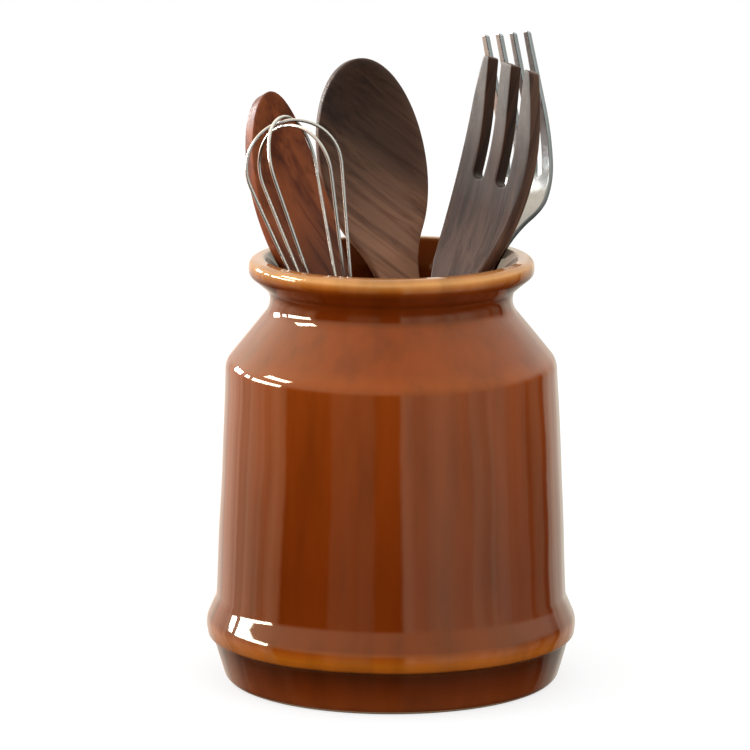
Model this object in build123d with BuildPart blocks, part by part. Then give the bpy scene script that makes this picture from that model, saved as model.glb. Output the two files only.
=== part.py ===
from build123d import *
from math import cos, degrees, radians, sin, sqrt
import os

# Utensil crock with two wooden spoons, a wooden fork, a steel table fork and a small balloon whisk.
# Millimetres, +Z up, origin at the centre of the foot ring on the surface that the crock stands on.
# The bowls of the spoons face the front of the crock, which looks along -Y.

# Crock sizes, from the foot up to the lip and down the inside
crock_height = 140.0
body_radius = 57.5
body_taper = 3.5
foot_inset = 3.2
foot_ring_width = 9.3
foot_recess = 2.4
base_flare = 1.1
base_height = 14.4
ridge_edge_stand = 2.7
ridge_edge_height = 1.0
ridge_stand = 3.4
ridge_swell_height = 4.6
ridge_slope_height = 8.0
neck_radius = 39.4
shoulder_height = 17.9
neck_height = 5.1
lip_flare_height = 5.8
lip_height = 5.4
lip_overhang = 6.9
mouth_flare = 1.8
wall = 4.6
neck_wall = 3.6
inner_neck_rise = 2.0
inner_neck_drop = 1.5
floor_level = 7.0

# Radii and levels of the crock's corners, worked out from its sizes
foot_radius = body_radius - foot_inset
foot_ring_radius = foot_radius - foot_ring_width
base_top_radius = body_radius + base_flare
ridge_edge_radius = body_radius + ridge_edge_stand
ridge_radius = body_radius + ridge_stand
shoulder_radius = body_radius - body_taper
lip_radius = neck_radius + lip_overhang
mouth_radius = neck_radius + mouth_flare
ridge_low = base_height + ridge_edge_height
ridge_middle = ridge_low + ridge_swell_height
ridge_root = ridge_middle + ridge_slope_height
lip_low = crock_height - lip_height
neck_high = lip_low - lip_flare_height
neck_low = neck_high - neck_height
shoulder_level = neck_low - shoulder_height

# Roundings of the crock, each at the corner of the wall that it is named for
foot_round = 4.0
base_top_round = 0.8
ridge_edge_round = 0.9
ridge_round = 8.0
ridge_root_round = 8.0
shoulder_round = 7.0
neck_low_round = 7.0
neck_high_round = 5.0
lip_low_round = 2.7
lip_round = 2.7
mouth_round = 1.4
floor_round = 8.0

# Where each utensil stands, as shares of the flat floor's radius, and where it passes the neck
floor_radius = body_radius - wall - floor_round
seat_gap = 0.3
waist_drop = 1.8
neck_level = neck_high - waist_drop
large_spoon_foot_shares = (0.6815, 0.3675)
large_spoon_neck = (0.7, 30.2)
small_spoon_foot_shares = (0.7795, -0.2227)
small_spoon_neck = (-24.2, 11.5)
wooden_fork_foot_shares = (-0.4098, -0.3385)
wooden_fork_neck = (20.2, -7.0)
steel_fork_foot_shares = (0.4454, -0.5345)
steel_fork_neck = (30.4, 13.0)
whisk_foot_shares = (0.2227, -0.6258)
whisk_neck = (-21.0, -16.3)

# How far each face is turned away from the front, in degrees, positive towards +X
large_spoon_angle = 19.5
small_spoon_angle = 40.0
wooden_fork_angle = -38.0
steel_fork_angle = -45.0
whisk_angle = 10.0

# Large wooden spoon
large_spoon_stock = 6.4
large_spoon_rim = 4.6
large_spoon_bowl_width = 36.8
large_spoon_bowl_length = 68.0
large_spoon_bowl_middle = 159.0
large_spoon_handle_width = 10.6
large_spoon_handle_neck = 14.6
large_spoon_bend_start = 125.0
large_spoon_bend = 220.0
large_spoon_dish = 3.4
large_spoon_dish_edge = 2.2
large_spoon_neck_round = 36.0

# Small wooden spoon
small_spoon_stock = 6.2
small_spoon_rim = 5.2
small_spoon_bowl_width = 26.6
small_spoon_bowl_length = 76.0
small_spoon_bowl_middle = 157.4
small_spoon_handle_width = 9.2
small_spoon_handle_neck = 7.4
small_spoon_bend_start = 130.0
small_spoon_bend = 135.0
small_spoon_dish = 2.8
small_spoon_dish_edge = 1.9
small_spoon_neck_round = 14.0

# Both spoons
spoon_edge_round = 0.9
bowl_arc_share = 1.2

# Wooden fork
wooden_fork_stock = 6.0
wooden_fork_length = 199.6
wooden_fork_handle_width = 9.8
wooden_fork_handle_neck = 13.0
wooden_fork_head_length = 79.0
wooden_fork_head_width = 26.2
wooden_fork_prong_length = 35.0
wooden_fork_tip_width = 18.8
wooden_fork_neck_round = 30.0
wooden_fork_tip_round = 1.2
wooden_fork_back_bend = 60.0
wooden_fork_back_angle = 14.0
wooden_fork_head_bend = 80.0
wooden_fork_head_angle = 35.0
wooden_fork_slot_root = 4.0
wooden_fork_slot_mouth = 4.8
wooden_fork_slot_length = 39.0
wooden_fork_slot_spacing = 9.3
wooden_fork_prong_round = 0.7
wooden_fork_head_start = wooden_fork_length - wooden_fork_head_length
wooden_fork_head_middle = wooden_fork_length - wooden_fork_prong_length

# Steel table fork
steel_fork_stock = 1.8
steel_fork_length = 205.3
steel_fork_handle_end = 12.0
steel_fork_handle_neck = 6.6
steel_fork_neck_round = 20.0
steel_fork_neck_length = 27.0
steel_fork_back_bend = 32.0
steel_fork_back_angle = 44.0
steel_fork_head_bend = 23.5
steel_fork_head_angle = 52.4
steel_fork_tine_bend = 80.0
steel_fork_tine_angle = 13.4
steel_fork_head_width = 24.6
steel_fork_head_length = 56.3
steel_fork_shoulder_round = 14.0
steel_fork_tip_width = 21.2
steel_fork_slot_root = 3.0
steel_fork_slot_mouth = 4.2
steel_fork_slot_length = 46.0
steel_fork_slot_spacing = 6.35
steel_fork_tine_round = 0.7
steel_fork_shoulder = steel_fork_length - steel_fork_head_length
steel_fork_neck_station = steel_fork_shoulder - steel_fork_neck_length

# Whisk wires
whisk_wire = 1.1
whisk_wire_gap = 0.35
whisk_balloon_length = 90.5
whisk_crown_half = 18.4
whisk_crown_round = 15.2
whisk_leg_circle_radius = 3.2
whisk_leg_rise = 3.0
whisk_leg_round = 12.0
whisk_leg_depth = 7.0
whisk_loop_angles = (56.0, 0.0, -50.0)

# Whisk handle, with its plug, cap and bail
whisk_tube_length = 86.0
whisk_tube_belly_radius = 5.2
whisk_tube_end_radius = 4.8
whisk_tube_wall = 0.7
whisk_plug_length = 8.0
whisk_cap_height = 3.4
whisk_cap_round = 1.0
whisk_cap_stub = 5.0
whisk_fit = 0.05
whisk_bail_wire = 1.4
whisk_bail_radius = 2.9
whisk_bail_leg = 3.0
whisk_bail_seat = 2.2


def standing_plane(foot_shares, neck, angle, end_radius, half_stock, end_round):
    """Plane of a utensil that stands on the floor and leans: +X across, +Y up along the handle."""
    foot_x, foot_y = [floor_radius * share for share in foot_shares]
    lean = Vector(neck[0] - foot_x, neck[1] - foot_y, neck_level - floor_level).normalized()
    look = Vector(sin(radians(angle)), -cos(radians(angle)), 0)
    face = (look - lean * look.dot(lean)).normalized()
    drop = (
        (end_radius - end_round) * sqrt(1 - face.Z**2)
        + (half_stock - end_round) * abs(face.Z)
        + end_round
    )
    return Plane(
        origin=(foot_x, foot_y, floor_level + seat_gap + drop),
        x_dir=lean.cross(face),
        z_dir=face,
    )


def side_plane(plan):
    """Plane along the middle of a utensil: +X up along the handle, +Y towards its face."""
    return Plane(plan.origin, x_dir=plan.y_dir, z_dir=plan.x_dir)


def section_plane(plan, station):
    """Plane across the handle at a station along it: +X across, +Y towards the back."""
    return Plane(plan.origin + plan.y_dir * station, x_dir=plan.x_dir, z_dir=plan.y_dir)


def taper(station, start, end, length):
    """Slanted strip about the middle line, one width at its start and another at its end."""
    Polygon(
        (-start / 2, station),
        (-end / 2, station + length),
        (end / 2, station + length),
        (start / 2, station),
        align=None,
    )


# Crock: one wall turned about the upright axis
with BuildPart() as crock:
    with BuildSketch(Plane.XZ):
        with BuildLine():
            wall_line = FilletPolyline(
                (foot_ring_radius, 0),
                (foot_radius, 0),
                (base_top_radius, base_height),
                (ridge_edge_radius, ridge_low),
                (ridge_radius, ridge_middle),
                (body_radius, ridge_root),
                (shoulder_radius, shoulder_level),
                (neck_radius, neck_low),
                (neck_radius, neck_high),
                (lip_radius, lip_low),
                (lip_radius, crock_height),
                (mouth_radius, crock_height),
                (neck_radius - neck_wall, neck_high + inner_neck_rise),
                (neck_radius - neck_wall, neck_low - inner_neck_drop),
                (shoulder_radius - wall, shoulder_level - inner_neck_drop),
                (body_radius - wall, floor_level),
                (0, floor_level),
                radius=[
                    foot_round,
                    base_top_round,
                    ridge_edge_round,
                    ridge_round,
                    ridge_root_round,
                    shoulder_round,
                    neck_low_round,
                    neck_high_round,
                    lip_low_round,
                    lip_round,
                    mouth_round,
                    neck_high_round,
                    neck_low_round,
                    shoulder_round,
                    floor_round,
                ],
            )
            Polyline(
                wall_line @ 1,
                (0, foot_recess),
                (foot_ring_radius - foot_recess, foot_recess),
                wall_line @ 0,
            )
        make_face()
    revolve(axis=Axis.Z)
crock.part.label = "crock"


def wooden_spoon(plan, stock, rim, bowl_width, bowl_length, bowl_middle, handle_width,
                 handle_neck, bend_start, bend, dish, dish_edge, neck_round):
    """Spoon carved from one bent board: a rounded back, an oval bowl and a dished face."""
    bowl_angle = degrees((bowl_middle + bowl_length / 2 - bend_start) / bend)
    side = side_plane(plan)
    with BuildPart() as spoon:
        with BuildLine(side):
            handle = Line((-handle_width, 0), (bend_start, 0))
            JernArc(handle @ 1, handle % 1, bend, bowl_angle * bowl_arc_share)
        with BuildSketch(section_plane(plan, -handle_width)):
            with BuildLine():
                face_line = Line((-bowl_width / 2, -stock / 2), (bowl_width / 2, -stock / 2))
                edge_line = Line(face_line @ 1, (bowl_width / 2, rim - stock / 2))
                back = ThreePointArc(
                    edge_line @ 1, (0, stock / 2), (-bowl_width / 2, rim - stock / 2)
                )
                Line(back @ 1, face_line @ 0)
            make_face()
        sweep()
        with BuildSketch(plan) as outline:
            Circle(handle_width / 2)
            taper(0, handle_width, handle_neck, bowl_middle)
            with Locations((0, bowl_middle)):
                Ellipse(bowl_width / 2, bowl_length / 2)
            fillet(
                outline.vertices().filter_by(
                    lambda corner: handle_width < corner.Y < bowl_middle - bowl_length / 4
                ),
                neck_round,
            )
        extrude(amount=bowl_length, both=True, mode=Mode.INTERSECT)
        fillet(spoon.edges(), spoon_edge_round)
        half_angle = (bowl_middle - bend_start) / bend
        face_bend = bend - stock / 2
        dish_length = bowl_length / 2 - dish_edge
        dish_width = bowl_width / 2 - dish_edge
        long_radius = 1 / (1 / face_bend + 2 * dish / dish_length**2)
        cross_radius = dish_width**2 / (2 * dish)
        reach = bowl_length / 2
        reach_rise = reach**2 / (2 * long_radius) - dish
        dish_plane = Plane(
            side.from_local_coords(
                Vector(bend_start + face_bend * sin(half_angle), bend - face_bend * cos(half_angle))
            ),
            x_dir=side.x_dir * cos(half_angle) + side.y_dir * sin(half_angle),
            z_dir=side.z_dir,
        )
        with BuildSketch(dish_plane):
            with BuildLine():
                hollow = ThreePointArc((-reach, reach_rise), (0, -dish), (reach, reach_rise))
                Polyline(
                    hollow @ 1,
                    (reach, cross_radius - dish),
                    (-reach, cross_radius - dish),
                    hollow @ 0,
                )
            make_face()
        revolve(
            axis=Axis(
                dish_plane.from_local_coords(Vector(0, cross_radius - dish)),
                dish_plane.x_dir,
            ),
            mode=Mode.SUBTRACT,
        )
    return spoon.part


large_spoon_plan = standing_plane(
    large_spoon_foot_shares,
    large_spoon_neck,
    large_spoon_angle,
    large_spoon_handle_width / 2,
    large_spoon_stock / 2,
    spoon_edge_round,
)
large_wooden_spoon = wooden_spoon(
    large_spoon_plan,
    large_spoon_stock,
    large_spoon_rim,
    large_spoon_bowl_width,
    large_spoon_bowl_length,
    large_spoon_bowl_middle,
    large_spoon_handle_width,
    large_spoon_handle_neck,
    large_spoon_bend_start,
    large_spoon_bend,
    large_spoon_dish,
    large_spoon_dish_edge,
    large_spoon_neck_round,
)
large_wooden_spoon.label = "large_wooden_spoon"

small_spoon_plan = standing_plane(
    small_spoon_foot_shares,
    small_spoon_neck,
    small_spoon_angle,
    small_spoon_handle_width / 2,
    small_spoon_stock / 2,
    spoon_edge_round,
)
small_wooden_spoon = wooden_spoon(
    small_spoon_plan,
    small_spoon_stock,
    small_spoon_rim,
    small_spoon_bowl_width,
    small_spoon_bowl_length,
    small_spoon_bowl_middle,
    small_spoon_handle_width,
    small_spoon_handle_neck,
    small_spoon_bend_start,
    small_spoon_bend,
    small_spoon_dish,
    small_spoon_dish_edge,
    small_spoon_neck_round,
)
small_wooden_spoon.label = "small_wooden_spoon"


def cut_slots(middles, length, slot_length, root, mouth):
    """Slots with a round root that widen to the tips, cut out of the outline of a fork."""
    for middle in middles:
        with Locations((middle, length - slot_length + root / 2)):
            Circle(root / 2, mode=Mode.SUBTRACT)
        Polygon(
            (middle - root / 2, length - slot_length + root / 2),
            (middle - mouth / 2, length + root),
            (middle + mouth / 2, length + root),
            (middle + root / 2, length - slot_length + root / 2),
            align=None,
            mode=Mode.SUBTRACT,
        )


# Wooden fork: a bent board with a broad head and two slots that widen towards the tips
wooden_fork_plan = standing_plane(
    wooden_fork_foot_shares,
    wooden_fork_neck,
    wooden_fork_angle,
    wooden_fork_handle_width / 2,
    wooden_fork_stock / 2,
    0,
)
with BuildPart() as wooden_fork:
    with BuildSketch(side_plane(wooden_fork_plan)):
        with BuildLine():
            grip_line = Line((-wooden_fork_handle_width, 0), (wooden_fork_head_start, 0))
            back_line = JernArc(
                grip_line @ 1, grip_line % 1, wooden_fork_back_bend, -wooden_fork_back_angle
            )
            head_line = JernArc(
                back_line @ 1, back_line % 1, wooden_fork_head_bend, wooden_fork_head_angle
            )
            Line(head_line @ 1, head_line @ 1 + (head_line % 1) * wooden_fork_slot_length)
            offset(amount=wooden_fork_stock / 2)
        make_face()
    extrude(amount=wooden_fork_head_width / 2, both=True)
    with BuildSketch(wooden_fork_plan) as fork_outline:
        Circle(wooden_fork_handle_width / 2)
        taper(0, wooden_fork_handle_width, wooden_fork_handle_neck, wooden_fork_head_start)
        with BuildLine():
            left_side = ThreePointArc(
                (-wooden_fork_handle_neck / 2, wooden_fork_head_start),
                (-wooden_fork_head_width / 2, wooden_fork_head_middle),
                (-wooden_fork_tip_width / 2, wooden_fork_length),
            )
            tip_line = Line(left_side @ 1, (wooden_fork_tip_width / 2, wooden_fork_length))
            right_side = ThreePointArc(
                tip_line @ 1,
                (wooden_fork_head_width / 2, wooden_fork_head_middle),
                (wooden_fork_handle_neck / 2, wooden_fork_head_start),
            )
            Line(right_side @ 1, left_side @ 0)
        make_face()
        fillet(fork_outline.vertices().sort_by(Axis.Y)[-2:], wooden_fork_tip_round)
        fillet(
            fork_outline.vertices().filter_by(
                lambda corner: abs(corner.Y - wooden_fork_head_start) < wooden_fork_stock
            ),
            wooden_fork_neck_round,
        )
        cut_slots(
            (-wooden_fork_slot_spacing / 2, wooden_fork_slot_spacing / 2),
            wooden_fork_length,
            wooden_fork_slot_length,
            wooden_fork_slot_root,
            wooden_fork_slot_mouth,
        )
        fillet(
            fork_outline.vertices().group_by(Axis.Y)[-1].sort_by(Axis.X)[1:-1],
            wooden_fork_prong_round,
        )
    extrude(amount=wooden_fork_length / 2, both=True, mode=Mode.INTERSECT)
wooden_fork.part.label = "wooden_fork"

# Steel fork: sheet pressed to a double bend, with the outline and the three slots stamped out of it
steel_fork_plan = standing_plane(
    steel_fork_foot_shares,
    steel_fork_neck,
    steel_fork_angle,
    steel_fork_handle_end / 2,
    steel_fork_stock / 2,
    0,
)
with BuildPart() as steel_fork:
    with BuildSketch(side_plane(steel_fork_plan)):
        with BuildLine():
            shank_line = Line((-steel_fork_handle_end, 0), (steel_fork_neck_station, 0))
            crook_line = JernArc(
                shank_line @ 1, shank_line % 1, steel_fork_back_bend, -steel_fork_back_angle
            )
            palm_line = JernArc(
                crook_line @ 1, crook_line % 1, steel_fork_head_bend, steel_fork_head_angle
            )
            tine_line = JernArc(
                palm_line @ 1, palm_line % 1, steel_fork_tine_bend, steel_fork_tine_angle
            )
            Line(tine_line @ 1, tine_line @ 1 + (tine_line % 1) * steel_fork_head_length)
            offset(amount=steel_fork_stock / 2)
        make_face()
    extrude(amount=steel_fork_head_width / 2, both=True)
    with BuildSketch(steel_fork_plan) as stamping:
        Circle(steel_fork_handle_end / 2)
        taper(0, steel_fork_handle_end, steel_fork_handle_neck, steel_fork_neck_station)
        taper(
            steel_fork_neck_station,
            steel_fork_handle_neck,
            steel_fork_head_width,
            steel_fork_shoulder - steel_fork_neck_station,
        )
        taper(
            steel_fork_shoulder,
            steel_fork_head_width,
            steel_fork_tip_width,
            steel_fork_length - steel_fork_shoulder,
        )
        fillet(
            stamping.vertices().filter_by(
                lambda corner: abs(corner.Y - steel_fork_neck_station) < steel_fork_stock
            ),
            steel_fork_neck_round,
        )
        fillet(
            stamping.vertices().filter_by(
                lambda corner: abs(corner.Y - steel_fork_shoulder) < steel_fork_stock
            ),
            steel_fork_shoulder_round,
        )
        cut_slots(
            (-steel_fork_slot_spacing, 0, steel_fork_slot_spacing),
            steel_fork_length,
            steel_fork_slot_length,
            steel_fork_slot_root,
            steel_fork_slot_mouth,
        )
        fillet(stamping.vertices().group_by(Axis.Y)[-1], steel_fork_tine_round)
    extrude(amount=steel_fork_length / 2, both=True, mode=Mode.INTERSECT)
steel_fork.part.label = "steel_fork"

# Whisk: the tube leans like the other handles and stands on its bail
whisk_plan = standing_plane(
    whisk_foot_shares,
    whisk_neck,
    whisk_angle,
    whisk_bail_radius + whisk_bail_wire / 2,
    whisk_bail_wire / 2,
    whisk_bail_wire / 2,
)
whisk_bore_radius = whisk_tube_end_radius - whisk_tube_wall
whisk_mouth = whisk_bail_leg + whisk_cap_height + whisk_tube_length

# Whisk handle: thin steel tube with a slight belly
with BuildPart() as whisk_handle:
    with BuildSketch(side_plane(whisk_plan)):
        with BuildLine():
            belly = ThreePointArc(
                (whisk_mouth - whisk_tube_length, whisk_tube_end_radius),
                (whisk_mouth - whisk_tube_length / 2, whisk_tube_belly_radius),
                (whisk_mouth, whisk_tube_end_radius),
            )
            Polyline(
                belly @ 1,
                (whisk_mouth, whisk_bore_radius),
                (whisk_mouth - whisk_tube_length, whisk_bore_radius),
                belly @ 0,
            )
        make_face()
    revolve(axis=Axis(whisk_plan.origin, whisk_plan.y_dir))
whisk_handle.part.label = "whisk_handle"

# Whisk plug: round block in the mouth of the tube with a hole for each of the six wire legs
with BuildPart() as whisk_plug:
    with BuildSketch(section_plane(whisk_plan, whisk_mouth - whisk_plug_length)):
        Circle(whisk_bore_radius - whisk_fit)
        for loop_angle in whisk_loop_angles:
            with PolarLocations(whisk_leg_circle_radius, 2, start_angle=loop_angle):
                Circle(whisk_wire / 2 + whisk_fit, mode=Mode.SUBTRACT)
    extrude(amount=whisk_plug_length)
whisk_plug.part.label = "whisk_plug"

# Whisk end cap: closes the foot of the tube, with a stub inside it and two holes for the bail
with BuildPart() as whisk_end_cap:
    with BuildSketch(section_plane(whisk_plan, whisk_bail_leg)):
        Circle(whisk_tube_end_radius)
    extrude(amount=whisk_cap_height)
    fillet(
        whisk_end_cap.edges().group_by(Axis(whisk_plan.origin, whisk_plan.y_dir))[0],
        whisk_cap_round,
    )
    with BuildSketch(section_plane(whisk_plan, whisk_bail_leg + whisk_cap_height)):
        Circle(whisk_bore_radius - whisk_fit)
    extrude(amount=whisk_cap_stub)
    with BuildSketch(section_plane(whisk_plan, whisk_bail_leg)):
        with Locations((-whisk_bail_radius, 0), (whisk_bail_radius, 0)):
            Circle(whisk_bail_wire / 2 + whisk_fit)
    extrude(amount=whisk_bail_seat + whisk_fit, mode=Mode.SUBTRACT)
whisk_end_cap.part.label = "whisk_end_cap"

# Whisk bail: a bent wire with both legs in the cap
with BuildPart() as whisk_hanging_loop:
    with BuildLine(whisk_plan):
        left_leg = Line(
            (-whisk_bail_radius, whisk_bail_leg + whisk_bail_seat), (-whisk_bail_radius, 0)
        )
        bow = ThreePointArc(left_leg @ 1, (0, -whisk_bail_radius), (whisk_bail_radius, 0))
        Line(bow @ 1, (whisk_bail_radius, whisk_bail_leg + whisk_bail_seat))
    with BuildSketch(
        Plane(
            whisk_plan.from_local_coords(Vector(-whisk_bail_radius, whisk_bail_leg + whisk_bail_seat)),
            x_dir=whisk_plan.x_dir,
            z_dir=-whisk_plan.y_dir,
        )
    ):
        Circle(whisk_bail_wire / 2)
    sweep()
whisk_hanging_loop.part.label = "whisk_hanging_loop"


def balloon_loop(turn, apex):
    """Wire loop of the whisk: straight legs in the plug, slanted sides and a round crown."""
    across = whisk_plan.x_dir * cos(radians(turn)) - whisk_plan.z_dir * sin(radians(turn))
    mouth_plane = Plane(
        whisk_plan.origin + whisk_plan.y_dir * whisk_mouth,
        x_dir=across,
        z_dir=across.cross(whisk_plan.y_dir),
    )
    with BuildPart() as loop:
        with BuildLine(mouth_plane):
            route = FilletPolyline(
                (-whisk_leg_circle_radius, -whisk_leg_depth),
                (-whisk_leg_circle_radius, whisk_leg_rise),
                (-whisk_crown_half, apex),
                (whisk_crown_half, apex),
                (whisk_leg_circle_radius, whisk_leg_rise),
                (whisk_leg_circle_radius, -whisk_leg_depth),
                radius=[whisk_leg_round, whisk_crown_round, whisk_crown_round, whisk_leg_round],
            )
        with BuildSketch(Plane(route @ 0, x_dir=across, z_dir=whisk_plan.y_dir)):
            Circle(whisk_wire / 2)
        sweep(path=route)
    return loop.part


# Whisk wires: three loops at their own angles, each crossing under the one outside it
whisk_wire_step = whisk_wire + whisk_wire_gap
outer_angle, middle_angle, inner_angle = whisk_loop_angles
whisk_wire_outer = balloon_loop(outer_angle, whisk_balloon_length)
whisk_wire_middle = balloon_loop(middle_angle, whisk_balloon_length - whisk_wire_step)
whisk_wire_inner = balloon_loop(inner_angle, whisk_balloon_length - 2 * whisk_wire_step)
whisk_wire_outer.label = "whisk_wire_outer"
whisk_wire_middle.label = "whisk_wire_middle"
whisk_wire_inner.label = "whisk_wire_inner"

os.makedirs("parts", exist_ok=True)
export_step(crock.part, "parts/crock.step")
export_step(large_wooden_spoon, "parts/large_wooden_spoon.step")
export_step(small_wooden_spoon, "parts/small_wooden_spoon.step")
export_step(wooden_fork.part, "parts/wooden_fork.step")
export_step(steel_fork.part, "parts/steel_fork.step")
export_step(whisk_handle.part, "parts/whisk_handle.step")
export_step(whisk_plug.part, "parts/whisk_plug.step")
export_step(whisk_end_cap.part, "parts/whisk_end_cap.step")
export_step(whisk_hanging_loop.part, "parts/whisk_hanging_loop.step")
export_step(whisk_wire_outer, "parts/whisk_wire_outer.step")
export_step(whisk_wire_middle, "parts/whisk_wire_middle.step")
export_step(whisk_wire_inner, "parts/whisk_wire_inner.step")
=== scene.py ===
import math

import bmesh
import bpy
import numpy as np
from mathutils import Matrix, Vector, noise


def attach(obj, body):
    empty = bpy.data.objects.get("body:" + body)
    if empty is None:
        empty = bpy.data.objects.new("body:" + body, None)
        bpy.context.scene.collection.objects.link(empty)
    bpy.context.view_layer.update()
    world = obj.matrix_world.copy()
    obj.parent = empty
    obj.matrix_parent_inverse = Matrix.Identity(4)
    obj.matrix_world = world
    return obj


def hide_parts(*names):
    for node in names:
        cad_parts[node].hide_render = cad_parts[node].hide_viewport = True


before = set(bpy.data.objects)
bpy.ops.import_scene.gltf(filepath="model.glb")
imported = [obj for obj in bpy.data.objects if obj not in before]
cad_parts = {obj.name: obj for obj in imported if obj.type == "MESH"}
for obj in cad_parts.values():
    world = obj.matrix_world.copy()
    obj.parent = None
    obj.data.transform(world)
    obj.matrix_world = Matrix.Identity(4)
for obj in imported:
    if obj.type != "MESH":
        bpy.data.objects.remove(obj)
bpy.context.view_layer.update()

# Camera: a long lens, a little higher than the tools, that looks slightly down into the mouth.
# The picture is square and the crock stands almost in its middle.
lens_millimetres = 259.4
camera_place = (-0.0054, -1.733, 0.428)
look_down = 10.69
camera = bpy.data.objects.new("camera", bpy.data.cameras.new("camera"))
camera.data.lens = lens_millimetres
camera.data.sensor_width = 36
camera.data.clip_start = 0.1
camera.matrix_world = (
    Matrix.Translation(camera_place) @ Matrix.Rotation(math.radians(90 - look_down), 4, "X")
)
bpy.context.scene.collection.objects.link(camera)
bpy.context.scene.camera = camera
bpy.context.scene.view_settings.view_transform = "Standard"


# Studio: a room of pale curtains, warm at the left, with a few dark openings, which only glossy
# surfaces mirror, as upright bands below a bright ceiling. The camera sees plain white, and matt
# surfaces get an even white light.
def add_node(tree, kind, inputs=(), **settings):
    """A shader node with its settings, and with its sockets linked or set."""
    made = tree.nodes.new(kind)
    for name, value in settings.items():
        setattr(made, name, value)
    for socket, value in inputs:
        if isinstance(value, bpy.types.NodeSocket):
            tree.links.new(value, made.inputs[socket])
        else:
            made.inputs[socket].default_value = value
    return made


def calculated(tree, operation, first, second=0.0):
    """Result of one sum on two sockets or numbers."""
    return add_node(tree, "ShaderNodeMath", [(0, first), (1, second)], operation=operation).outputs[0]


def ramp(tree, factor, stops):
    """Colour ramp with (place, colour) stops, a colour being one brightness or red, green and blue."""
    made = add_node(tree, "ShaderNodeValToRGB", [(0, factor)])
    elements = made.color_ramp.elements
    while len(elements) < len(stops):
        elements.new(1.0)
    for element, (place, colour) in zip(elements, stops):
        element.position = place
        element.color = (*colour, 1) if isinstance(colour, tuple) else (colour, colour, colour, 1)
    return made.outputs[0]


# Degrees to the right of the camera at which each curtain or opening starts, and its colour
screens = [
    (-180, (1.2, 1.0, 0.85)), (-150, (1.75, 1.2, 0.95)), (-126, (1.2, 0.78, 0.58)),
    (-114, (1.75, 1.15, 0.88)), (-98, (1.0, 0.64, 0.45)), (-90, (1.4, 0.9, 0.66)), (-78, (0, 0, 0)),
    (-42, (0.3, 0.31, 0.27)), (-11, (0, 0.01, 0.01)), (7, (0.76, 0.8, 0.8)),
    (84, (0.42, 0.42, 0.38)), (104, (0.12, 0.12, 0.1)), (109, (0.3, 0.28, 0.22)),
    (122, (0.06, 0.06, 0.05)), (129, (1.0, 0.96, 0.84)),
]
# The same for the light from above that the shoulder mirrors, with soft changes between the colours
ceiling = [
    (-180, (1.8, 1.65, 1.45)), (-126, (2.1, 1.85, 1.55)), (-99, (1.8, 1.5, 1.25)),
    (-71, (1.25, 1.05, 0.92)), (0, (0.77, 0.7, 0.62)), (105, (1.05, 1.05, 0.98)),
    (134, (1.05, 1.12, 1.05)), (180, (1.8, 1.65, 1.45)),
]
screen_edge = 1.5
full_turn = 360
matt_strength = 1.0
backdrop_strength = 1.0
fold_scale = 26.0
fold_shades = [(0.35, 0.72), (0.6, 1.08)]
ceiling_fade = [(0.06, 0.0), (0.3, 1.0)]
table_shades = [(0.45, 0.08), (0.8, 1.0)]
world = bpy.data.worlds.new("studio")
bpy.context.scene.world = world
world.use_nodes = True
room = world.node_tree
room.nodes.clear()
direction = add_node(
    room, "ShaderNodeSeparateXYZ", [(0, add_node(room, "ShaderNodeTexCoord").outputs["Generated"])]
)
bearing = calculated(
    room, "ARCTAN2", direction.outputs[0], calculated(room, "MULTIPLY", direction.outputs[1], -1.0)
)
bearing = calculated(room, "MULTIPLY_ADD", bearing, 1 / (2 * math.pi))
bearing.node.inputs[2].default_value = 0.5
stops = []
for number, (start, level) in enumerate(screens):
    place = start / full_turn + 0.5
    if number:
        stops.append((place - screen_edge / full_turn, screens[number - 1][1]))
    stops.append((place + screen_edge / full_turn, level))
walls = ramp(room, bearing, stops)
folds = add_node(room, "ShaderNodeTexNoise", [("W", bearing), ("Scale", fold_scale), ("Detail", 3.0)],
                 noise_dimensions="1D").outputs[0]
curtains = add_node(
    room, "ShaderNodeMix", [(0, 1.0), ("A", walls), ("B", ramp(room, folds, fold_shades))],
    data_type="RGBA", blend_type="MULTIPLY",
).outputs["Result"]
above = ramp(room, bearing, [(degrees / full_turn + 0.5, colour) for degrees, colour in ceiling])
overhead = ramp(room, direction.outputs[2], ceiling_fade)
around = add_node(room, "ShaderNodeMix", [(0, overhead), ("A", curtains), ("B", above)], data_type="RGBA")
table_dark = ramp(room, calculated(room, "ADD", direction.outputs[2], 1.0), table_shades)
ray = add_node(room, "ShaderNodeLightPath")
mirrored = add_node(room, "ShaderNodeBackground", [(0, around.outputs["Result"]), (1, table_dark)])
matt_light = add_node(room, "ShaderNodeBackground", [(0, (1, 1, 1, 1)), (1, matt_strength)])
backdrop = add_node(room, "ShaderNodeBackground", [(0, (1, 1, 1, 1)), (1, backdrop_strength)])
lit = add_node(
    room, "ShaderNodeMixShader",
    [(0, ray.outputs["Is Glossy Ray"]), (1, matt_light.outputs[0]), (2, mirrored.outputs[0])],
)
seen = calculated(room, "MAXIMUM", ray.outputs["Is Camera Ray"], ray.outputs["Is Transmission Ray"])
shown = add_node(room, "ShaderNodeMixShader", [(0, seen), (1, lit.outputs[0]), (2, backdrop.outputs[0])])
add_node(room, "ShaderNodeOutputWorld", [(0, shown.outputs[0])])


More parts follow.
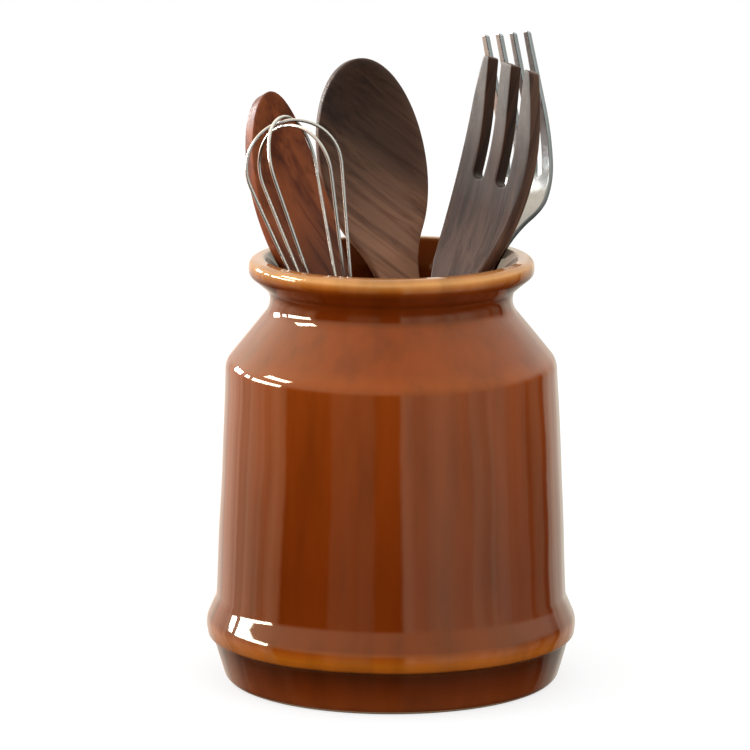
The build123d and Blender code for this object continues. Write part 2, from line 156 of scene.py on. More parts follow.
# Lamps: four panes of a window at the left, which the glaze and the steel mirror as small bright
# rectangles, and two soft lamps without a reflection that light the matt surfaces. All are white.
def lamp(name, place, aim, width, height, watts, lights_matt):
    """Rectangular lamp, aimed at a place, that lights matt surfaces or is mirrored in glossy ones."""
    data = bpy.data.lights.new(name, "AREA")
    data.shape = "RECTANGLE"
    data.size, data.size_y, data.energy = width, height, watts
    made = bpy.data.objects.new(name, data)
    made.location = place
    made.visible_diffuse = lights_matt
    made.visible_glossy = not lights_matt
    made.rotation_euler = (Vector(aim) - Vector(place)).to_track_quat("-Z", "Y").to_euler()
    bpy.context.scene.collection.objects.link(made)


crock_middle, crock_waist = (0, 0, 0.1), (0, 0, 0.08)
window_distance = 1.6
pane_light = 30.0
# Each pane with its bearing in degrees, the height of its middle, its width and its height
for name, bearing_degrees, height, pane_width, pane_height in [
    ("pane_far", -134, 0.34, 0.34, 0.26), ("pane_middle", -119, 0.34, 0.17, 0.20),
    ("pane_near", -97, 0.34, 0.85, 0.24), ("pane_above", -95, 1.04, 0.75, 0.30),
]:
    angle = math.radians(bearing_degrees)
    place = (window_distance * math.sin(angle), -window_distance * math.cos(angle), height)
    watts = pane_light * pane_width * pane_height * math.pi
    lamp(name, place, crock_middle, pane_width, pane_height, watts, lights_matt=False)
lamp("window_light", (-1.5, -0.3, 0.7), crock_middle, 1.2, 0.8, 9.0, lights_matt=True)
lamp("soft_screen", (0.9, -1.5, 1.5), crock_waist, 1.2, 1.2, 7.0, lights_matt=True)

# Floor: a pale matt tabletop, larger than the view, that keeps the soft shadow of the crock.
# The camera sees it as white as the backdrop away from that shadow.
floor_half = 1.5
floor_white = 0.74
floor_shadow_share = 0.3
floor_colour = (0.45, 0.44, 0.43, 1)
floor_data = bpy.data.meshes.new("floor")
floor_data.from_pydata(
    [(-floor_half, -floor_half, 0), (floor_half, -floor_half, 0),
     (floor_half, floor_half, 0), (-floor_half, floor_half, 0)],
    [], [(0, 1, 2, 3)],
)
floor = bpy.data.objects.new("floor", floor_data)
floor.visible_glossy = False
bpy.context.scene.collection.objects.link(floor)
tabletop = bpy.data.materials.new("tabletop")
tabletop.use_nodes = True
tree = tabletop.node_tree
tree.nodes.clear()
ray = add_node(tree, "ShaderNodeLightPath")
matt = add_node(tree, "ShaderNodeBsdfDiffuse", [(0, floor_colour)])
white = add_node(tree, "ShaderNodeEmission", [(0, (1, 1, 1, 1)), (1, floor_white)])
shade = add_node(tree, "ShaderNodeBsdfDiffuse", [(0, (floor_shadow_share,) * 3 + (1,))])
bright = add_node(tree, "ShaderNodeAddShader", [(0, white.outputs[0]), (1, shade.outputs[0])])
mix = add_node(tree, "ShaderNodeMixShader",
               [(0, ray.outputs["Is Camera Ray"]), (1, matt.outputs[0]), (2, bright.outputs[0])])
add_node(tree, "ShaderNodeOutputMaterial", [(0, mix.outputs[0])])
floor_data.materials.append(tabletop)


# Crock: stoneware turned on a wheel, with a rolled lip, a ridge band near the foot and a thick
# glossy brown glaze. The glaze runs thin and orange on the lip and on the lower edge of the ridge.
def rounded(corners, steps=8):
    """Points of an outline whose corners are (across, up, radius), with an arc at each radius."""
    points = []
    for number, (across, up, radius) in enumerate(corners):
        corner = Vector((across, up))
        if not radius:
            points.append(corner)
            continue
        back = (Vector(corners[number - 1][:2]) - corner).normalized()
        ahead = (Vector(corners[(number + 1) % len(corners)][:2]) - corner).normalized()
        half = back.angle(ahead) / 2
        middle = corner + (back + ahead).normalized() * radius / math.sin(half)
        start, end = [corner + side * radius / math.tan(half) - middle for side in (back, ahead)]
        first = math.atan2(start.y, start.x)
        turn = (math.atan2(end.y, end.x) - first + math.pi) % (2 * math.pi) - math.pi
        for step in range(steps + 1):
            angle = first + turn * step / steps
            points.append(middle + radius * Vector((math.cos(angle), math.sin(angle))))
    return points


def spaced(points, gap):
    """The same points with more between them wherever two are further apart than the gap."""
    result = [points[0]]
    for point in points[1:]:
        last = result[-1]
        parts = max(1, math.ceil((point - last).length / gap))
        result += [last.lerp(point, part / parts) for part in range(1, parts + 1)]
    return result


def add_piece(name, vertices, faces, material):
    """Smooth mesh object with one material, linked to the scene."""
    data = bpy.data.meshes.new(name)
    data.from_pydata([tuple(vertex) for vertex in vertices], [], faces)
    data.materials.append(material)
    data.polygons.foreach_set("use_smooth", [True] * len(data.polygons))
    data.update()
    made = bpy.data.objects.new(name, data)
    bpy.context.scene.collection.objects.link(made)
    return made


def paint(red, green, blue):
    """Linear colour for a colour written as a screen shows it, from 0 to 255."""
    return tuple(
        share / 12.92 if share <= 0.04045 else ((share + 0.055) / 1.055) ** 2.4
        for share in (red / 255, green / 255, blue / 255)
    )


crock_height = 0.140
wall_step = 0.003
# Radius, height and rounding of each corner, from under the foot round the lip to the inside floor
crock_wall = rounded([
    (0.0426, 0.0024, 0), (0.0450, 0.0000, 0), (0.0543, 0.0000, 0.0040), (0.0586, 0.0144, 0.0008),
    (0.0602, 0.0154, 0.0009), (0.0609, 0.0200, 0.0080), (0.0575, 0.0280, 0.0080),
    (0.0540, 0.1058, 0.0070), (0.0394, 0.1237, 0.0070), (0.0394, 0.1288, 0.0050),
    (0.0463, 0.1346, 0.0027), (0.0463, 0.1400, 0.0027), (0.0412, 0.1400, 0.0014),
    (0.0358, 0.1308, 0.0050), (0.0358, 0.1222, 0.0070), (0.0494, 0.1043, 0.0070),
    (0.0529, 0.0070, 0.0080), (0.0040, 0.0070, 0),
])
crock_wall = spaced(crock_wall, wall_step)
crock_segments = 256
glaze_swell = 0.00036
slow_swell, quick_swell, quick_share = 20, 50, 0.45
foot_fade = 0.012
bare_foot = 0.0012


def glaze_material():
    """Thick brown glaze: orange where it is thin, clay where the foot is bare, a little lighter towards the
    shoulder, with painted shade under the ridge, in the neck and inside the mouth.
    """
    made = bpy.data.materials.new("brown_glaze")
    made.use_nodes = True
    tree = made.node_tree
    shader = tree.nodes["Principled BSDF"]
    place = add_node(tree, "ShaderNodeTexCoord").outputs["Object"]
    split = add_node(tree, "ShaderNodeSeparateXYZ", [(0, place)])
    level = calculated(tree, "DIVIDE", split.outputs[2], crock_height)
    clouds = add_node(tree, "ShaderNodeTexNoise", [("Vector", place), ("Scale", 28.0), ("Detail", 3.0)])
    drift = calculated(tree, "MULTIPLY_ADD", clouds.outputs[0], 0.012)
    drift.node.inputs[2].default_value = -0.006
    level = calculated(tree, "ADD", level, drift)
    # Colour by height. The orange stops are glaze that runs thin on the ridge's lower edge and on the lip;
    # the dark stop just under the ridge and the darker neck stops are painted shade.
    glaze_and_painted_shade = ramp(tree, level, [
        (0.010, paint(126, 58, 22)), (0.055, paint(102, 42, 12)), (0.094, paint(74, 30, 10)),
        (0.106, paint(84, 38, 10)), (0.112, paint(150, 78, 18)), (0.126, paint(166, 88, 18)),
        (0.140, paint(150, 72, 14)), (0.156, paint(112, 44, 7)), (0.300, paint(110, 42, 6)),
        (0.600, paint(126, 52, 10)), (0.740, paint(132, 56, 12)), (0.760, paint(144, 64, 16)),
        (0.790, paint(134, 56, 12)), (0.880, paint(136, 57, 13)), (0.893, paint(110, 43, 7)),
        (0.955, paint(104, 39, 4)), (0.968, paint(120, 52, 8)), (0.979, paint(176, 102, 36)),
        (0.989, paint(214, 152, 88)), (0.999, paint(168, 108, 60)),
    ])
    flat = add_node(tree, "ShaderNodeCombineXYZ", [(0, split.outputs[0]), (1, split.outputs[1])])
    radius = add_node(
        tree, "ShaderNodeVectorMath", [(0, flat.outputs[0])], operation="LENGTH",
    ).outputs["Value"]
    radius = calculated(tree, "MULTIPLY", radius, 10.0)
    outside = calculated(
        tree, "MAXIMUM", ramp(tree, radius, [(0.408, 0.0), (0.424, 1.0)]),
        ramp(tree, level, [(0.92, 1.0), (0.94, 0.0)]),
    )
    # Painted shade: the inside of the lip and the mouth get a darker glaze colour.
    painted_shade_inside = (*paint(92, 38, 8), 1)
    glaze_and_painted_shade = add_node(
        tree, "ShaderNodeMix", [(0, outside), ("A", painted_shade_inside), ("B", glaze_and_painted_shade)], data_type="RGBA",
    ).outputs["Result"]
    drawn_down = add_node(
        tree, "ShaderNodeVectorMath", [(0, place), (1, (1.0, 1.0, 0.14))], operation="MULTIPLY",
    ).outputs["Vector"]
    runs = add_node(tree, "ShaderNodeTexNoise", [("Vector", drawn_down), ("Scale", 120.0), ("Detail", 4.0)])
    shade = ramp(tree, runs.outputs[0], [(0.3, 0.80), (0.5, 1.0), (0.7, 1.10)])
    streaked = add_node(
        tree, "ShaderNodeMix", [(0, 1.0), ("A", glaze_and_painted_shade), ("B", shade)], data_type="RGBA",
        blend_type="MULTIPLY",
    ).outputs["Result"]
    bare = calculated(tree, "LESS_THAN", split.outputs[2], bare_foot)
    clay = (*paint(178, 146, 116), 1)
    finished = add_node(
        tree, "ShaderNodeMix", [(0, bare), ("A", streaked), ("B", clay)], data_type="RGBA",
    ).outputs["Result"]
    tree.links.new(finished, shader.inputs["Base Color"])
    polish = calculated(tree, "MULTIPLY_ADD", bare, 0.75)
    polish.node.inputs[2].default_value = 0.05
    tree.links.new(polish, shader.inputs["Roughness"])
    shader.inputs["IOR"].default_value = 1.52
    shader.inputs["Specular Tint"].default_value = (1.0, 0.97, 0.68, 1.0)
    dimples = add_node(tree, "ShaderNodeTexNoise", [("Vector", place), ("Scale", 90.0), ("Detail", 2.0)])
    bump = add_node(tree, "ShaderNodeBump", [("Height", dimples.outputs[0]), ("Strength", 0.05),
                                             ("Distance", 0.001)])
    tree.links.new(bump.outputs[0], shader.inputs["Normal"])
    return made


glaze = glaze_material()
vertices, faces = [], []
for point in crock_wall:
    for segment in range(crock_segments):
        angle = 2 * math.pi * segment / crock_segments
        around_point = Vector((math.cos(angle) * point.x, math.sin(angle) * point.x, point.y))
        swell = noise.noise(around_point * slow_swell)
        swell += quick_share * noise.noise(around_point * quick_swell)
        radius = point.x + glaze_swell * swell * min(1.0, point.y / foot_fade)
        vertices.append((math.cos(angle) * radius, math.sin(angle) * radius, point.y))
for row in range(len(crock_wall) - 1):
    for segment in range(crock_segments):
        after = (segment + 1) % crock_segments
        first, second = row * crock_segments, (row + 1) * crock_segments
        faces.append((first + segment, first + after, second + after, second + segment))
faces.append(tuple(reversed(range(crock_segments))))
faces.append(tuple(range(len(vertices) - crock_segments, len(vertices))))
crock = add_piece("glazed_crock", vertices, faces, glaze)
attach(crock, "root")
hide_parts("crock")


# Large wooden spoon: carved from one board of dark walnut and oiled. The handle bends forward
# into a long oval bowl, dished a few millimetres deep, with a rounded back and a soft narrow rim.
floor_level = 0.0073
floor_gap = 0.0003
neck_level = 0.127


def standing(foot, neck, turn, end_radius, half_stock, end_round):
    """Place of a tool that leans in the mouth: X across it, Y up along its handle, Z out of its face."""
    rise = neck_level - floor_level + floor_gap
    lean = Vector((neck[0] - foot[0], neck[1] - foot[1], rise)).normalized()
    look = Vector((math.sin(math.radians(turn)), -math.cos(math.radians(turn)), 0))
    face = (look - lean * look.dot(lean)).normalized()
    drop = (end_radius - end_round) * math.sqrt(1 - face.z**2)
    drop += (half_stock - end_round) * abs(face.z) + end_round
    axes = Matrix((lean.cross(face), lean, face)).transposed().to_4x4()
    return Matrix.Translation((foot[0], foot[1], floor_level + drop)) @ axes


def bent(stations, straight, bends, steps=24):
    """Rise and slope of a bent middle line at stations along it, after its arcs (radius, degrees)."""
    along, rise, slope = [-1.0, straight], [0.0, 0.0], [0.0, 0.0]
    for radius, degrees in bends:
        start, height, heading = along[-1], rise[-1], slope[-1]
        side = math.copysign(radius, degrees)
        for step in range(1, steps + 1):
            angle = heading + math.radians(degrees) * step / steps
            along.append(start + side * (math.sin(angle) - math.sin(heading)))
            rise.append(height - side * (math.cos(angle) - math.cos(heading)))
            slope.append(angle)
    along.append(along[-1] + math.cos(slope[-1]))
    rise.append(rise[-1] + math.sin(slope[-1]))
    slope.append(slope[-1])
    return np.interp(stations, along, rise), np.interp(stations, along, slope)


def eased(width, step, radius):
    """Half widths with their inner corners filled by a circle of that radius rolled along them."""
    reach = int(radius / step)
    bulge = np.sqrt(np.clip(radius**2 - (np.arange(-reach, reach + 1) * step) ** 2, 0, None))
    padded = np.pad(width, reach, mode="edge")
    span = len(bulge)
    raised = np.array([np.max(padded[place:place + span] + bulge) for place in range(len(width))])
    padded = np.pad(raised, reach, mode="edge")
    return np.array([np.min(padded[place:place + span] - bulge) for place in range(len(width))])


def carved_spoon(name, size, material):
    """Spoon as two fine skins, the face with its dish and the back, joined by a narrow rim."""
    handle_step, bowl_step, outline_step, tip_reach = 0.004, 0.0012, 0.0005, 0.006
    thinnest, short_of_end, short_of_tip = 0.00012, 0.999, 0.00001
    columns_across, dish_softness = 41, 0.004
    half_bowl, half_length = size["bowl_width"] / 2, size["bowl_length"] / 2
    middle, end = size["bowl_middle"], size["handle_width"] / 2
    tip = middle + half_length
    quarter = np.linspace(0, math.pi / 2, 15)
    stations = np.unique(np.concatenate([
        -end * np.cos(quarter) * short_of_end,
        np.arange(handle_step, middle - half_length, handle_step),
        np.arange(middle - half_length, tip - tip_reach, bowl_step),
        tip - tip_reach * (1 - np.sin(quarter)) - short_of_tip,
    ]))
    fine = np.arange(0, tip, outline_step)
    handle = end + (size["handle_neck"] - size["handle_width"]) / 2 * fine / middle
    oval = half_bowl * np.sqrt(np.clip(1 - ((fine - middle) / half_length) ** 2, 0, None))
    outline = np.maximum(np.where(fine < middle, handle, 0), oval)
    outline = np.where(fine < middle, eased(outline, outline_step, size["neck_round"]), outline)
    width = np.interp(stations, fine, outline)
    far = half_bowl * np.sqrt(np.clip(1 - ((stations - middle) / half_length) ** 2, 0, None))
    width = np.where(stations > middle, far, width)
    round_end = np.sqrt(np.clip(end**2 - np.minimum(stations, 0) ** 2, 0, None))
    width = np.where(stations < 0, round_end, width)
    width = np.clip(width, thinnest, None)
    slant = np.sqrt(1 + np.gradient(width, stations) ** 2)
    rise, slope = bent(stations, size["bend_start"], [(size["bend"], size["bend_degrees"])])
    across = np.sin(np.linspace(-math.pi / 2, math.pi / 2, columns_across))
    x = width[:, None] * across[None, :]
    y = np.repeat(stations[:, None], len(across), axis=1)
    edge = (width[:, None] - np.abs(x)) / slant[:, None]
    upright = 1 / np.cos(slope)[:, None]
    dish_width, dish_length = half_bowl - size["dish_edge"], half_length - size["dish_edge"]
    hollow = 1 - (x / dish_width) ** 2 - ((y - middle) / dish_length) ** 2
    hollow = size["dish"] * (hollow + np.sqrt(hollow**2 + dish_softness)) / 2

    def rounding(radius):
        """Depth that an edge of that radius takes off a skin."""
        inward = np.clip(radius - edge, 0, None)
        return radius - np.sqrt(np.clip(radius**2 - inward**2, 0, None))

    half_stock = size["stock"] / 2
    face = rise[:, None] + half_stock * upright - hollow - rounding(size["rim_round"])
    belly = -half_stock + (size["stock"] - size["rim"]) * (x / half_bowl) ** 2
    back = rise[:, None] + belly * upright + rounding(size["back_round"])
    rows, columns = x.shape
    vertices = [
        (x[row, column], y[row, column], skin[row, column])
        for skin in (face, back) for row in range(rows) for column in range(columns)
    ]
    faces = []
    below = rows * columns
    for row in range(rows - 1):
        for column in range(columns - 1):
            here = row * columns + column
            patch = (here, here + 1, here + columns + 1, here + columns)
            faces.append(patch)
            faces.append(tuple(below + corner for corner in reversed(patch)))
        for here, order in ((row * columns, 1), (row * columns + columns - 1, -1)):
            faces.append((here, here + columns, below + here + columns, below + here)[::order])
    for here, order in ((0, -1), ((rows - 1) * columns, 1)):
        for column in range(here, here + columns - 1):
            faces.append((column, column + 1, below + column + 1, below + column)[::order])
    return add_piece(name, vertices, faces, material)


def wood_material(name, dark, light, streak, grain, shading, roughness, painted_sheen=((0.0, 0.0), (1.0, 0.0))):
    """Oiled wood: long drifting grain, fine pores and darker streaks.

    The grain runs along the board up to a place on it, and leans by some degrees above that.
    The painted shading and the share of painted grey sheen follow stops (place, value), where place 1.0 is
    0.2 metres up the board.
    """
    made = bpy.data.materials.new(name)
    made.use_nodes = True
    tree = made.node_tree
    shader = tree.nodes["Principled BSDF"]
    coordinates = add_node(tree, "ShaderNodeTexCoord")
    place = coordinates.outputs["Object"]
    across, along, through = add_node(tree, "ShaderNodeSeparateXYZ", [(0, place)]).outputs
    start, lean = grain
    leaning = calculated(tree, "MAXIMUM", calculated(tree, "SUBTRACT", along, start), 0.0)
    leaning = calculated(tree, "MULTIPLY_ADD", leaning, math.tan(math.radians(lean)))
    tree.links.new(across, leaning.node.inputs[2])
    fibres = add_node(tree, "ShaderNodeCombineXYZ", [
        (0, leaning), (1, calculated(tree, "MULTIPLY", along, 0.06)), (2, through)
    ]).outputs[0]
    figure = add_node(tree, "ShaderNodeTexNoise", [
        ("Vector", fibres), ("Scale", 330.0), ("Detail", 6.0), ("Roughness", 0.62), ("Distortion", 0.5)
    ]).outputs[0]
    bands = add_node(tree, "ShaderNodeTexNoise", [
        ("Vector", fibres), ("Scale", 95.0), ("Detail", 2.0), ("Distortion", 0.9)
    ]).outputs[0]
    colour = ramp(tree, bands, [(0.34, paint(*dark)), (0.55, paint(*light)), (0.7, paint(*dark))])
    streaks = ramp(tree, figure, [(0.36, paint(*streak)), (0.52, (1.0, 1.0, 1.0)), (0.7, (1.12, 1.1, 1.06))])
    mixed = add_node(
        tree, "ShaderNodeMix", [(0, 0.75), ("A", colour), ("B", streaks)], data_type="RGBA",
        blend_type="MULTIPLY",
    ).outputs["Result"]
    along = calculated(tree, "MULTIPLY", along, 5.0)
    shaded = add_node(
        tree, "ShaderNodeMix", [(0, 1.0), ("A", mixed), ("B", ramp(tree, along, shading))],
        data_type="RGBA", blend_type="MULTIPLY",
    ).outputs["Result"]
    facing = add_node(tree, "ShaderNodeSeparateXYZ", [(0, coordinates.outputs["Normal"])]).outputs[2]
    board_face = ramp(tree, calculated(tree, "ABSOLUTE", facing), [(0.55, 0.0), (0.85, 1.0)])
    patches = calculated(tree, "MULTIPLY_ADD", figure, 0.9)
    patches.node.inputs[2].default_value = 0.5
    # Painted sheen: a grey on the faces of the board, broken into patches, that stands for the window
    # mirrored in them.
    grey = calculated(tree, "MULTIPLY", board_face, ramp(tree, along, painted_sheen))
    grey = calculated(tree, "MULTIPLY", grey, patches)
    grey.node.use_clamp = True
    painted_sheen_grey = (*paint(176, 170, 164), 1)
    shaded = add_node(
        tree, "ShaderNodeMix", [(0, grey), ("A", shaded), ("B", painted_sheen_grey)], data_type="RGBA",
    ).outputs["Result"]
    # Painted light and shade on the side walls: lighter on the outer walls, darker on the walls of the slots
    # and the narrow handle.
    painted_wall_light_and_shade = ramp(tree, calculated(tree, "MULTIPLY", calculated(tree, "ABSOLUTE", across), 50.0),
                      [(0.36, (0.8, 0.62, 0.48)), (0.42, (1.5, 1.38, 1.25))])
    side = add_node(
        tree, "ShaderNodeMix", [(0, board_face), ("A", painted_wall_light_and_shade), ("B", (1, 1, 1, 1))], data_type="RGBA",
    ).outputs["Result"]
    sided = add_node(
        tree, "ShaderNodeMix", [(0, 1.0), ("A", shaded), ("B", side)], data_type="RGBA",
        blend_type="MULTIPLY",
    ).outputs["Result"]
    tree.links.new(sided, shader.inputs["Base Color"])
    pores = add_node(tree, "ShaderNodeTexNoise", [("Vector", fibres), ("Scale", 1600.0), ("Detail", 3.0)])
    shader.inputs["Specular IOR Level"].default_value = 0.3
    wear = ramp(tree, figure, [(0.3, roughness + 0.14), (0.7, roughness)])
    tree.links.new(wear, shader.inputs["Roughness"])
    bump = add_node(tree, "ShaderNodeBump", [
        ("Height", pores.outputs[0]), ("Strength", 0.16), ("Distance", 0.0004)
    ])
    tree.links.new(bump.outputs[0], shader.inputs["Normal"])
    return made


large_spoon = dict(
    stock=0.0064, rim=0.0046, bowl_width=0.0368, bowl_length=0.068, bowl_middle=0.159,
    handle_width=0.0106, handle_neck=0.0146, neck_round=0.036,
    bend_start=0.125, bend=0.220, bend_degrees=40,
    dish=0.0034, dish_edge=0.0022, rim_round=0.0011, back_round=0.0022,
)
spoon_end_round = 0.0009
# The last stops are painted shading: the bowl lighter near its neck and darker towards its tip.
walnut = wood_material(
    "oiled_walnut", (86, 59, 44), (112, 79, 59), (190, 172, 160), (0.112, 40),
    [(0.60, 2.5), (0.68, 1.75), (0.78, 0.82), (0.88, 0.42), (0.95, 0.3)], 0.42,
)
piece = carved_spoon("walnut_spoon", large_spoon, walnut)
piece.matrix_world = standing(
    (0.0306, 0.0165), (0.0007, 0.0302), 19.5, large_spoon["handle_width"] / 2,
    large_spoon["stock"] / 2, spoon_end_round,
)
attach(piece, "large_wooden_spoon")
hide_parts("large_wooden_spoon")

# Small wooden spoon: carved in the same way from one piece of a redder wood, with a longer and
# narrower bowl. Its side wall is thick and catches the light of the window, and the walls of its bowl are
# also painted lighter.
small_spoon = dict(
    stock=0.0062, rim=0.0052, bowl_width=0.0266, bowl_length=0.076, bowl_middle=0.1574,
    handle_width=0.0092, handle_neck=0.0074, neck_round=0.014,
    bend_start=0.130, bend=0.135, bend_degrees=40,
    dish=0.0028, dish_edge=0.0019, rim_round=0.0008, back_round=0.0016,
)
# Its shading stops are painted shade: darker low down, where the crock's rim shades it.
red_wood = wood_material(
    "oiled_red_wood", (108, 52, 23), (140, 72, 34), (168, 138, 116), (0.110, 12),
    [(0.60, 0.4), (0.70, 0.55), (0.78, 1.0), (0.95, 0.86)], 0.34,
)
piece = carved_spoon("red_wood_spoon", small_spoon, red_wood)
piece.matrix_world = standing(
    (0.0350, -0.0100), (-0.0242, 0.0115), 40.0, small_spoon["handle_width"] / 2,
    small_spoon["stock"] / 2, spoon_end_round,
)
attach(piece, "small_wooden_spoon")
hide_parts("small_wooden_spoon")


# Wooden fork: sawn from a dark board, bent back and then forward, with two slots that widen
# towards the tips of its three prongs. Its edges are eased with sandpaper.
def slotted(middles, length, slot_length, root, mouth, prong_round, steps=8):
    """Corners of the slots of a fork from left to right, each (across, up, radius)."""
    corners = []
    for middle in middles:
        base = length - slot_length + root / 2
        corners.append((middle - mouth / 2, length, prong_round))
        for step in range(steps + 1):
            angle = math.pi * (1 + step / steps)
            corners.append((middle + root / 2 * math.cos(angle), base + root / 2 * math.sin(angle), 0))
        corners.append((middle + mouth / 2, length, prong_round))
    return corners


def bent_board(name, corners, stock, edge, straight, bends, step, material):
    """Board cut to an outline, with eased edges, and bent along its length."""
    same_point, sliver = 0.000002, 0.00008
    outline = rounded(corners)
    shape = bpy.data.curves.new(name, "CURVE")
    shape.dimensions, shape.fill_mode = "2D", "BOTH"
    shape.extrude, shape.bevel_depth, shape.offset = stock / 2 - edge, edge, -edge
    shape.bevel_resolution = 3
    spline = shape.splines.new("POLY")
    spline.points.add(len(outline) - 1)
    spline.use_cyclic_u = True
    for knot, point in zip(spline.points, outline):
        knot.co = (point.x, point.y, 0, 1)
    form = bpy.data.objects.new(name, shape)
    data = bpy.data.meshes.new_from_object(form)
    bpy.data.objects.remove(form)
    mesh = bmesh.new()
    mesh.from_mesh(data)
    bmesh.ops.remove_doubles(mesh, verts=mesh.verts, dist=same_point)
    for station in np.arange(straight, max(point.y for point in outline), step):
        everything = mesh.verts[:] + mesh.edges[:] + mesh.faces[:]
        bmesh.ops.bisect_plane(mesh, geom=everything, plane_co=(0, station, 0), plane_no=(0, 1, 0))
    bmesh.ops.dissolve_degenerate(mesh, dist=sliver, edges=mesh.edges)
    rise, slope = bent([vertex.co.y for vertex in mesh.verts], straight, bends)
    for vertex, lift, tilt in zip(mesh.verts, rise, slope):
        vertex.co.z = lift + vertex.co.z / math.cos(tilt)
    bmesh.ops.recalc_face_normals(mesh, faces=mesh.faces)
    mesh.to_mesh(data)
    mesh.free()
    data.materials.clear()
    data.materials.append(material)
    data.polygons.foreach_set("use_smooth", [True] * len(data.polygons))
    made = bpy.data.objects.new(name, data)
    bpy.context.scene.collection.objects.link(made)
    weighted = made.modifiers.new("face_weighted_normals", "WEIGHTED_NORMAL")
    weighted.keep_sharp = True
    return made


def mirrored_outline(left, slots):
    """Outline from its left side, the slots between its tips, and the left side again mirrored."""
    return left + slots + [(-across, up, radius) for across, up, radius in reversed(left)]


wooden_fork_length = 0.1996
wooden_fork_stock = 0.0060
head_length, head_middle_to_tip = 0.079, 0.035
head_start, head_middle = wooden_fork_length - head_length, wooden_fork_length - head_middle_to_tip
half_end, half_neck, half_head, half_tip = 0.0049, 0.0065, 0.0131, 0.0094
side_step, clear_of_neck, clear_of_tip = 0.004, 0.011, 0.003
side_points = [(half_neck, head_start), (half_head, head_middle), (half_tip, wooden_fork_length)]
centre_x, centre_y, offset = np.linalg.solve(
    [[2 * x, 2 * y, 1] for x, y in side_points], [x * x + y * y for x, y in side_points]
)
side_radius = math.sqrt(offset + centre_x**2 + centre_y**2)
head_side = [
    (-(centre_x + math.sqrt(side_radius**2 - (station - centre_y) ** 2)), station, 0)
    for station in np.arange(head_start + clear_of_neck, wooden_fork_length - clear_of_tip, side_step)
]
wooden_fork_corners = mirrored_outline(
    [(-half_end, -half_end, 0.0048), (-half_neck, head_start, 0.030), *head_side,
     (-half_tip, wooden_fork_length, 0.0012)],
    slotted((-0.00465, 0.00465), wooden_fork_length, 0.039, 0.0040, 0.0048, 0.0007),
)
# The shading stops are painted shade on the middle of the head, and the last stops are a painted grey sheen
# on the faces towards the tips.
fork_walnut = wood_material(
    "walnut_painted_sheen", (66, 44, 33), (96, 68, 53), (168, 150, 138), (0.110, 3),
    [(0.6, 1.1), (0.7, 0.86), (0.8, 0.66), (0.95, 0.86)], 0.36,
    [(0.76, 0.0), (0.84, 0.16), (0.91, 0.5), (1.0, 0.74)],
)
piece = bent_board(
    "walnut_fork", wooden_fork_corners, wooden_fork_stock, 0.0008, head_start,
    [(0.060, -14), (0.080, 35)], 0.002, fork_walnut,
)
piece.matrix_world = standing(
    (-0.0184, -0.0152), (0.0202, -0.0070), -38.0, half_end, wooden_fork_stock / 2, 0,
)
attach(piece, "wooden_fork")
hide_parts("wooden_fork")


# Steel fork: a table fork stamped from stainless sheet, pressed to a double bend and polished.
# Its four tines stand above the wooden fork, and its hollow side mirrors the room.
def steel_material(name, colour, roughness, brushed, shading=((0.0, 1.0), (1.0, 1.0))):
    """Polished stainless steel with fine marks along it and a few duller patches.

    Its shading follows stops (place, value), where place 1.0 is 0.2 metres up the piece.
    """
    made = bpy.data.materials.new(name)
    made.use_nodes = True
    tree = made.node_tree
    shader = tree.nodes["Principled BSDF"]
    shader.inputs["Metallic"].default_value = 1.0
    place = add_node(tree, "ShaderNodeTexCoord").outputs["Object"]
    marks = add_node(tree, "ShaderNodeMapping", [("Vector", place), ("Scale", (1.0, 0.04, 1.0))]).outputs[0]
    fine = add_node(tree, "ShaderNodeTexNoise", [("Vector", marks), ("Scale", brushed), ("Detail", 4.0)])
    dull = add_node(tree, "ShaderNodeTexNoise", [("Vector", place), ("Scale", 55.0), ("Detail", 2.0)])
    tree.links.new(
        ramp(tree, dull.outputs[0], [(0.35, roughness), (0.7, roughness + 0.1)]),
        shader.inputs["Roughness"],
    )
    tone = ramp(tree, fine.outputs[0], [(0.3, tuple(0.9 * part for part in colour)), (0.7, colour)])
    split = add_node(tree, "ShaderNodeSeparateXYZ", [(0, place)])
    along = calculated(tree, "MULTIPLY", split.outputs[1], 5.0)
    shaded = add_node(
        tree, "ShaderNodeMix", [(0, 1.0), ("A", tone), ("B", ramp(tree, along, shading))],
        data_type="RGBA", blend_type="MULTIPLY",
    ).outputs["Result"]
    tree.links.new(shaded, shader.inputs["Base Color"])
    bump = add_node(tree, "ShaderNodeBump", [("Height", fine.outputs[0]), ("Strength", 0.05),
                                             ("Distance", 0.0002)])
    tree.links.new(bump.outputs[0], shader.inputs["Normal"])
    return made


steel = steel_material("polished_steel", (0.42, 0.42, 0.415), 0.18, 1500.0)
# Painted shade and light: darker on the neck, lighter and a little cooler on the tines.
fork_steel = steel_material(
    "fork_steel_painted_shade", (0.46, 0.46, 0.455), 0.2, 1500.0,
    [(0.6, 0.5), (0.72, (0.44, 0.45, 0.45)), (0.8, (0.76, 0.8, 0.8)), (0.9, (1.06, 1.14, 1.18))],
)
steel_fork_length = 0.2053
steel_fork_sheet = 0.0018
steel_fork_neck = 0.122
steel_half_end = 0.0060
steel_fork_corners = mirrored_outline(
    [(-steel_half_end, -steel_half_end, 0.0058), (-0.0033, steel_fork_neck, 0.020), (-0.0123, 0.149, 0.014),
     (-0.0106, steel_fork_length, 0.0007)],
    slotted((-0.00635, 0, 0.00635), steel_fork_length, 0.046, 0.0030, 0.0042, 0.0007),
)
piece = bent_board(
    "table_fork", steel_fork_corners, steel_fork_sheet, 0.0004, steel_fork_neck,
    [(0.032, -44), (0.0235, 52.4), (0.080, 13.4)], 0.0015, fork_steel,
)
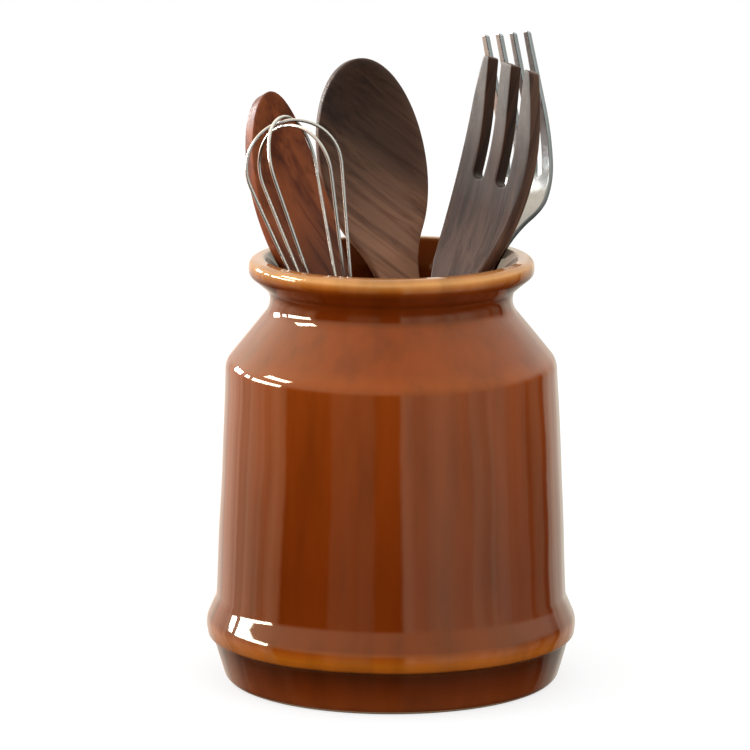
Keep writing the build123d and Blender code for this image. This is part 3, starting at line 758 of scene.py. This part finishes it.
piece.matrix_world = standing(
    (0.0200, -0.0240), (0.0304, 0.0130), -45.0, steel_half_end, steel_fork_sheet / 2, 0,
)
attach(piece, "steel_fork")
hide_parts("steel_fork")

# Whisk: three loops of springy steel wire, each bent to a balloon and set under the one outside it,
# with their legs in a plug in a steel tube that has a cap and a wire bail at its foot.
wire = 0.0011
wire_gap = 0.00035
whisk_mouth = 0.0924
balloon_length = 0.0905
half_crown, crown_round = 0.0184, 0.0152
leg_circle, leg_depth, leg_rise, leg_round = 0.0032, 0.0070, 0.0030, 0.012
whisk_place = standing((0.0100, -0.0281), (-0.0210, -0.0163), 10.0, 0.0036, 0.0007, 0.0007)
wire_steel = steel_material("drawn_wire", (0.72, 0.70, 0.66), 0.2, 2600.0)
for number, (name, turn) in enumerate([("outer", 56), ("middle", 0), ("inner", -50)]):
    apex = balloon_length - number * (wire + wire_gap)
    route = rounded([
        (-leg_circle, -leg_depth, 0), (-leg_circle, leg_rise, leg_round),
        (-half_crown, apex, crown_round), (half_crown, apex, crown_round),
        (leg_circle, leg_rise, leg_round), (leg_circle, -leg_depth, 0),
    ], 14)
    shape = bpy.data.curves.new("balloon_wire_" + name, "CURVE")
    shape.dimensions, shape.bevel_depth, shape.bevel_resolution = "3D", wire / 2, 4
    shape.use_fill_caps = True
    spline = shape.splines.new("POLY")
    spline.points.add(len(route) - 1)
    cosine, sine = math.cos(math.radians(turn)), math.sin(math.radians(turn))
    for knot, point in zip(spline.points, route):
        knot.co = (point.x * cosine, whisk_mouth + point.y, -point.x * sine, 1)
    spline.use_smooth = True
    shape.materials.append(wire_steel)
    loop = bpy.data.objects.new("balloon_wire_" + name, shape)
    bpy.context.scene.collection.objects.link(loop)
    loop.matrix_world = whisk_place
    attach(loop, "whisk")
    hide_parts("whisk_wire_" + name)
# The tube, plug, cap and bail stay as the frame has them and only get the polished steel
for name in ("whisk_handle", "whisk_plug", "whisk_end_cap", "whisk_hanging_loop"):
    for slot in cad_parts[name].material_slots:
        slot.material = steel
